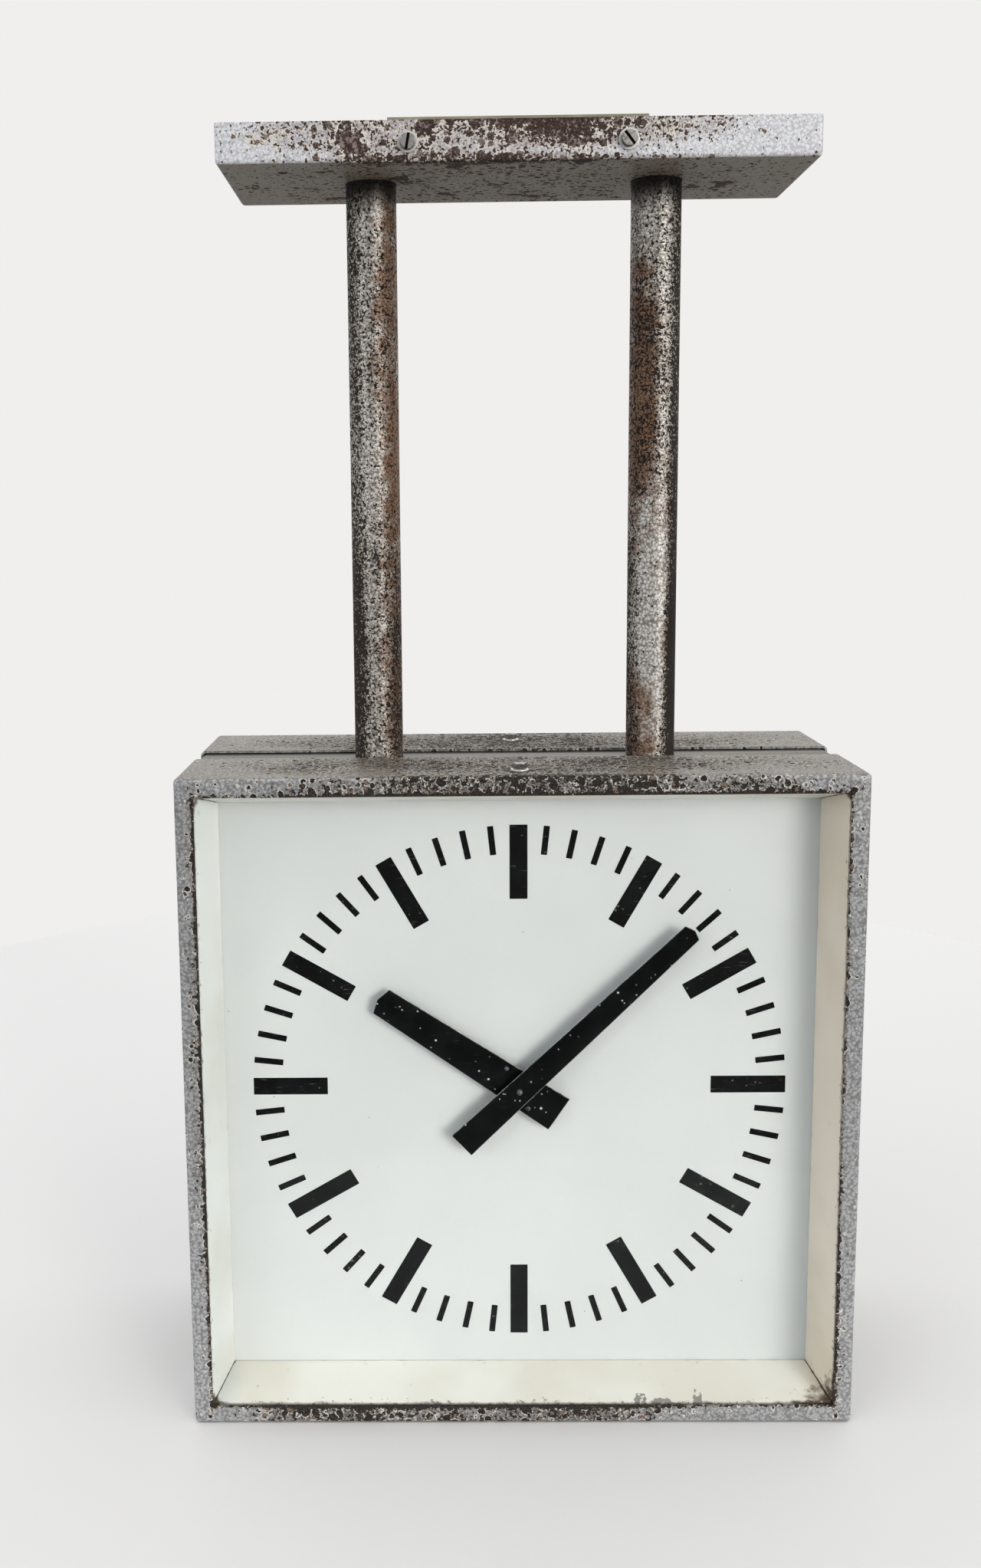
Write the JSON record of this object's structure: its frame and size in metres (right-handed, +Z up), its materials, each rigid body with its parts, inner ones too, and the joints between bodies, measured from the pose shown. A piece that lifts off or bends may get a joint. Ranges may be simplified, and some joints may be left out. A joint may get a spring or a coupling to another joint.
{
  "type": "double-sided hanging clock",
  "caption": "Square double-sided analogue clock in a grey sheet-steel case, hung from a canopy box on two tubes, with hinged glazed hoods.",
  "frame": {"origin": "under the middle of the case, at the height the case stands on", "axes": "+Z up the tubes to the ceiling, -Y out of the front dial, +X to the right as seen from the front"},
  "size_m": [0.45, 0.1954, 0.8635],
  "materials": {
    "hammertone": "grey hammertone enamel, pitted and rusting",
    "band_paint": "smooth grey enamel",
    "tube_paint": "grey hammertone enamel, speckled and rusting",
    "canopy_paint": "pale grey enamel flaking to a brown primer",
    "cream_paint": "cream enamel, dirty at the mitres",
    "dial_white": "white satin lacquer with black printed markers",
    "black_lacquer": "black satin lacquer with small chips",
    "clear_glass": "clear float glass",
    "zinc": "dull zinc plating",
    "bolt_steel": "worn steel",
    "frame_steel": "plain pressed steel",
    "brass": "rolled brass",
    "coil_winding": "varnished winding",
    "magnet": "ground magnet steel",
    "bakelite": "moulded phenolic"
  },
  "bodies": {
    "frame": {"centre_frame": "frame_steel", "centre_band": "band_paint", "tube_left": "tube_paint", "tube_right": "tube_paint", "tube_nut_left": "zinc", "tube_nut_right": "zinc", "canopy": "canopy_paint", "ceiling_bracket": "frame_steel", "terminal_block": "bakelite", "canopy_screw_front_left": "zinc", "canopy_washer_front_left": "zinc", "canopy_screw_front_right": "zinc", "canopy_washer_front_right": "zinc", "canopy_screw_rear_left": "zinc", "canopy_washer_rear_left": "zinc", "canopy_screw_rear_right": "zinc", "canopy_washer_rear_right": "zinc", "front_hinge_rod": "bolt_steel", "front_dial": "dial_white", "front_movement_front_plate": "brass", "front_movement_back_plate": "brass", "front_stator": "frame_steel", "front_coil": "coil_winding", "rear_hinge_rod": "bolt_steel", "rear_dial": "dial_white", "rear_movement_front_plate": "brass", "rear_movement_back_plate": "brass", "rear_stator": "frame_steel", "rear_coil": "coil_winding"},
    "front_hood_assembly": {"front_hood": "hammertone", "front_hood_bolt": "bolt_steel", "front_hood_washer": "zinc", "front_glass": "clear_glass", "front_reveal_top": "cream_paint", "front_reveal_right": "cream_paint", "front_reveal_bottom": "cream_paint", "front_reveal_left": "cream_paint"},
    "front_minute": {"front_centre_wheel": "brass", "front_minute_hand": "black_lacquer"},
    "front_hour": {"front_hour_wheel": "brass", "front_hour_hand": "black_lacquer"},
    "front_rotor_body": {"front_rotor": "magnet"},
    "front_intermediate_body": {"front_intermediate_wheel": "brass"},
    "front_minute_wheel_body": {"front_minute_wheel": "brass"},
    "rear_hood_assembly": {"rear_hood": "hammertone", "rear_hood_bolt": "bolt_steel", "rear_hood_washer": "zinc", "rear_glass": "clear_glass", "rear_reveal_top": "cream_paint", "rear_reveal_right": "cream_paint", "rear_reveal_bottom": "cream_paint", "rear_reveal_left": "cream_paint"},
    "rear_minute": {"rear_centre_wheel": "brass", "rear_minute_hand": "black_lacquer"},
    "rear_hour": {"rear_hour_wheel": "brass", "rear_hour_hand": "black_lacquer"},
    "rear_rotor_body": {"rear_rotor": "magnet"},
    "rear_intermediate_body": {"rear_intermediate_wheel": "brass"},
    "rear_minute_wheel_body": {"rear_minute_wheel": "brass"}
  },
  "joints": [
    {"name": "front_hood_hinge", "type": "hinge", "parent": "frame", "child": "front_hood_assembly", "pos_m": [0, -0.0148, 0.0023], "axis": [1, 0, 0], "range_deg": [0, 90]},
    {"name": "front_minute_spin", "type": "hinge", "parent": "frame", "child": "front_minute", "pos_m": [0, 0, 0.227], "axis": [0, 1, 0], "continuous": true},
    {"name": "front_hour_spin", "type": "hinge", "parent": "frame", "child": "front_hour", "pos_m": [0, 0, 0.227], "axis": [0, 1, 0], "continuous": true},
    {"name": "front_rotor_spin", "type": "hinge", "parent": "frame", "child": "front_rotor_body", "pos_m": [0, 0, 0.193], "axis": [0, 1, 0], "continuous": true},
    {"name": "front_intermediate_spin", "type": "hinge", "parent": "frame", "child": "front_intermediate_body", "pos_m": [0.01136, 0, 0.2081], "axis": [0, 1, 0], "continuous": true},
    {"name": "front_minute_wheel_spin", "type": "hinge", "parent": "frame", "child": "front_minute_wheel_body", "pos_m": [-0.01273, 0, 0.21427], "axis": [0, 1, 0], "continuous": true},
    {"name": "rear_hood_hinge", "type": "hinge", "parent": "frame", "child": "rear_hood_assembly", "pos_m": [0, 0.0148, 0.0023], "axis": [-1, 0, 0], "range_deg": [0, 90]},
    {"name": "rear_minute_spin", "type": "hinge", "parent": "frame", "child": "rear_minute", "pos_m": [0, 0, 0.227], "axis": [0, -1, 0], "continuous": true},
    {"name": "rear_hour_spin", "type": "hinge", "parent": "frame", "child": "rear_hour", "pos_m": [0, 0, 0.227], "axis": [0, -1, 0], "continuous": true},
    {"name": "rear_rotor_spin", "type": "hinge", "parent": "frame", "child": "rear_rotor_body", "pos_m": [0, 0, 0.193], "axis": [0, -1, 0], "continuous": true},
    {"name": "rear_intermediate_spin", "type": "hinge", "parent": "frame", "child": "rear_intermediate_body", "pos_m": [-0.01136, 0, 0.2081], "axis": [0, -1, 0], "continuous": true},
    {"name": "rear_minute_wheel_spin", "type": "hinge", "parent": "frame", "child": "rear_minute_wheel_body", "pos_m": [0.01273, 0, 0.21427], "axis": [0, -1, 0], "continuous": true}
  ],
  "couplings": [
    {"joint": "front_hour_spin", "follows": "front_minute_spin", "ratio": 0.083333},
    {"joint": "front_rotor_spin", "follows": "front_minute_spin", "ratio": 30},
    {"joint": "front_intermediate_spin", "follows": "front_minute_spin", "ratio": -6},
    {"joint": "front_minute_wheel_spin", "follows": "front_minute_spin", "ratio": -0.33333},
    {"joint": "rear_hour_spin", "follows": "rear_minute_spin", "ratio": 0.083333},
    {"joint": "rear_rotor_spin", "follows": "rear_minute_spin", "ratio": 30},
    {"joint": "rear_intermediate_spin", "follows": "rear_minute_spin", "ratio": -6},
    {"joint": "rear_minute_wheel_spin", "follows": "rear_minute_spin", "ratio": -0.33333}
  ]
}
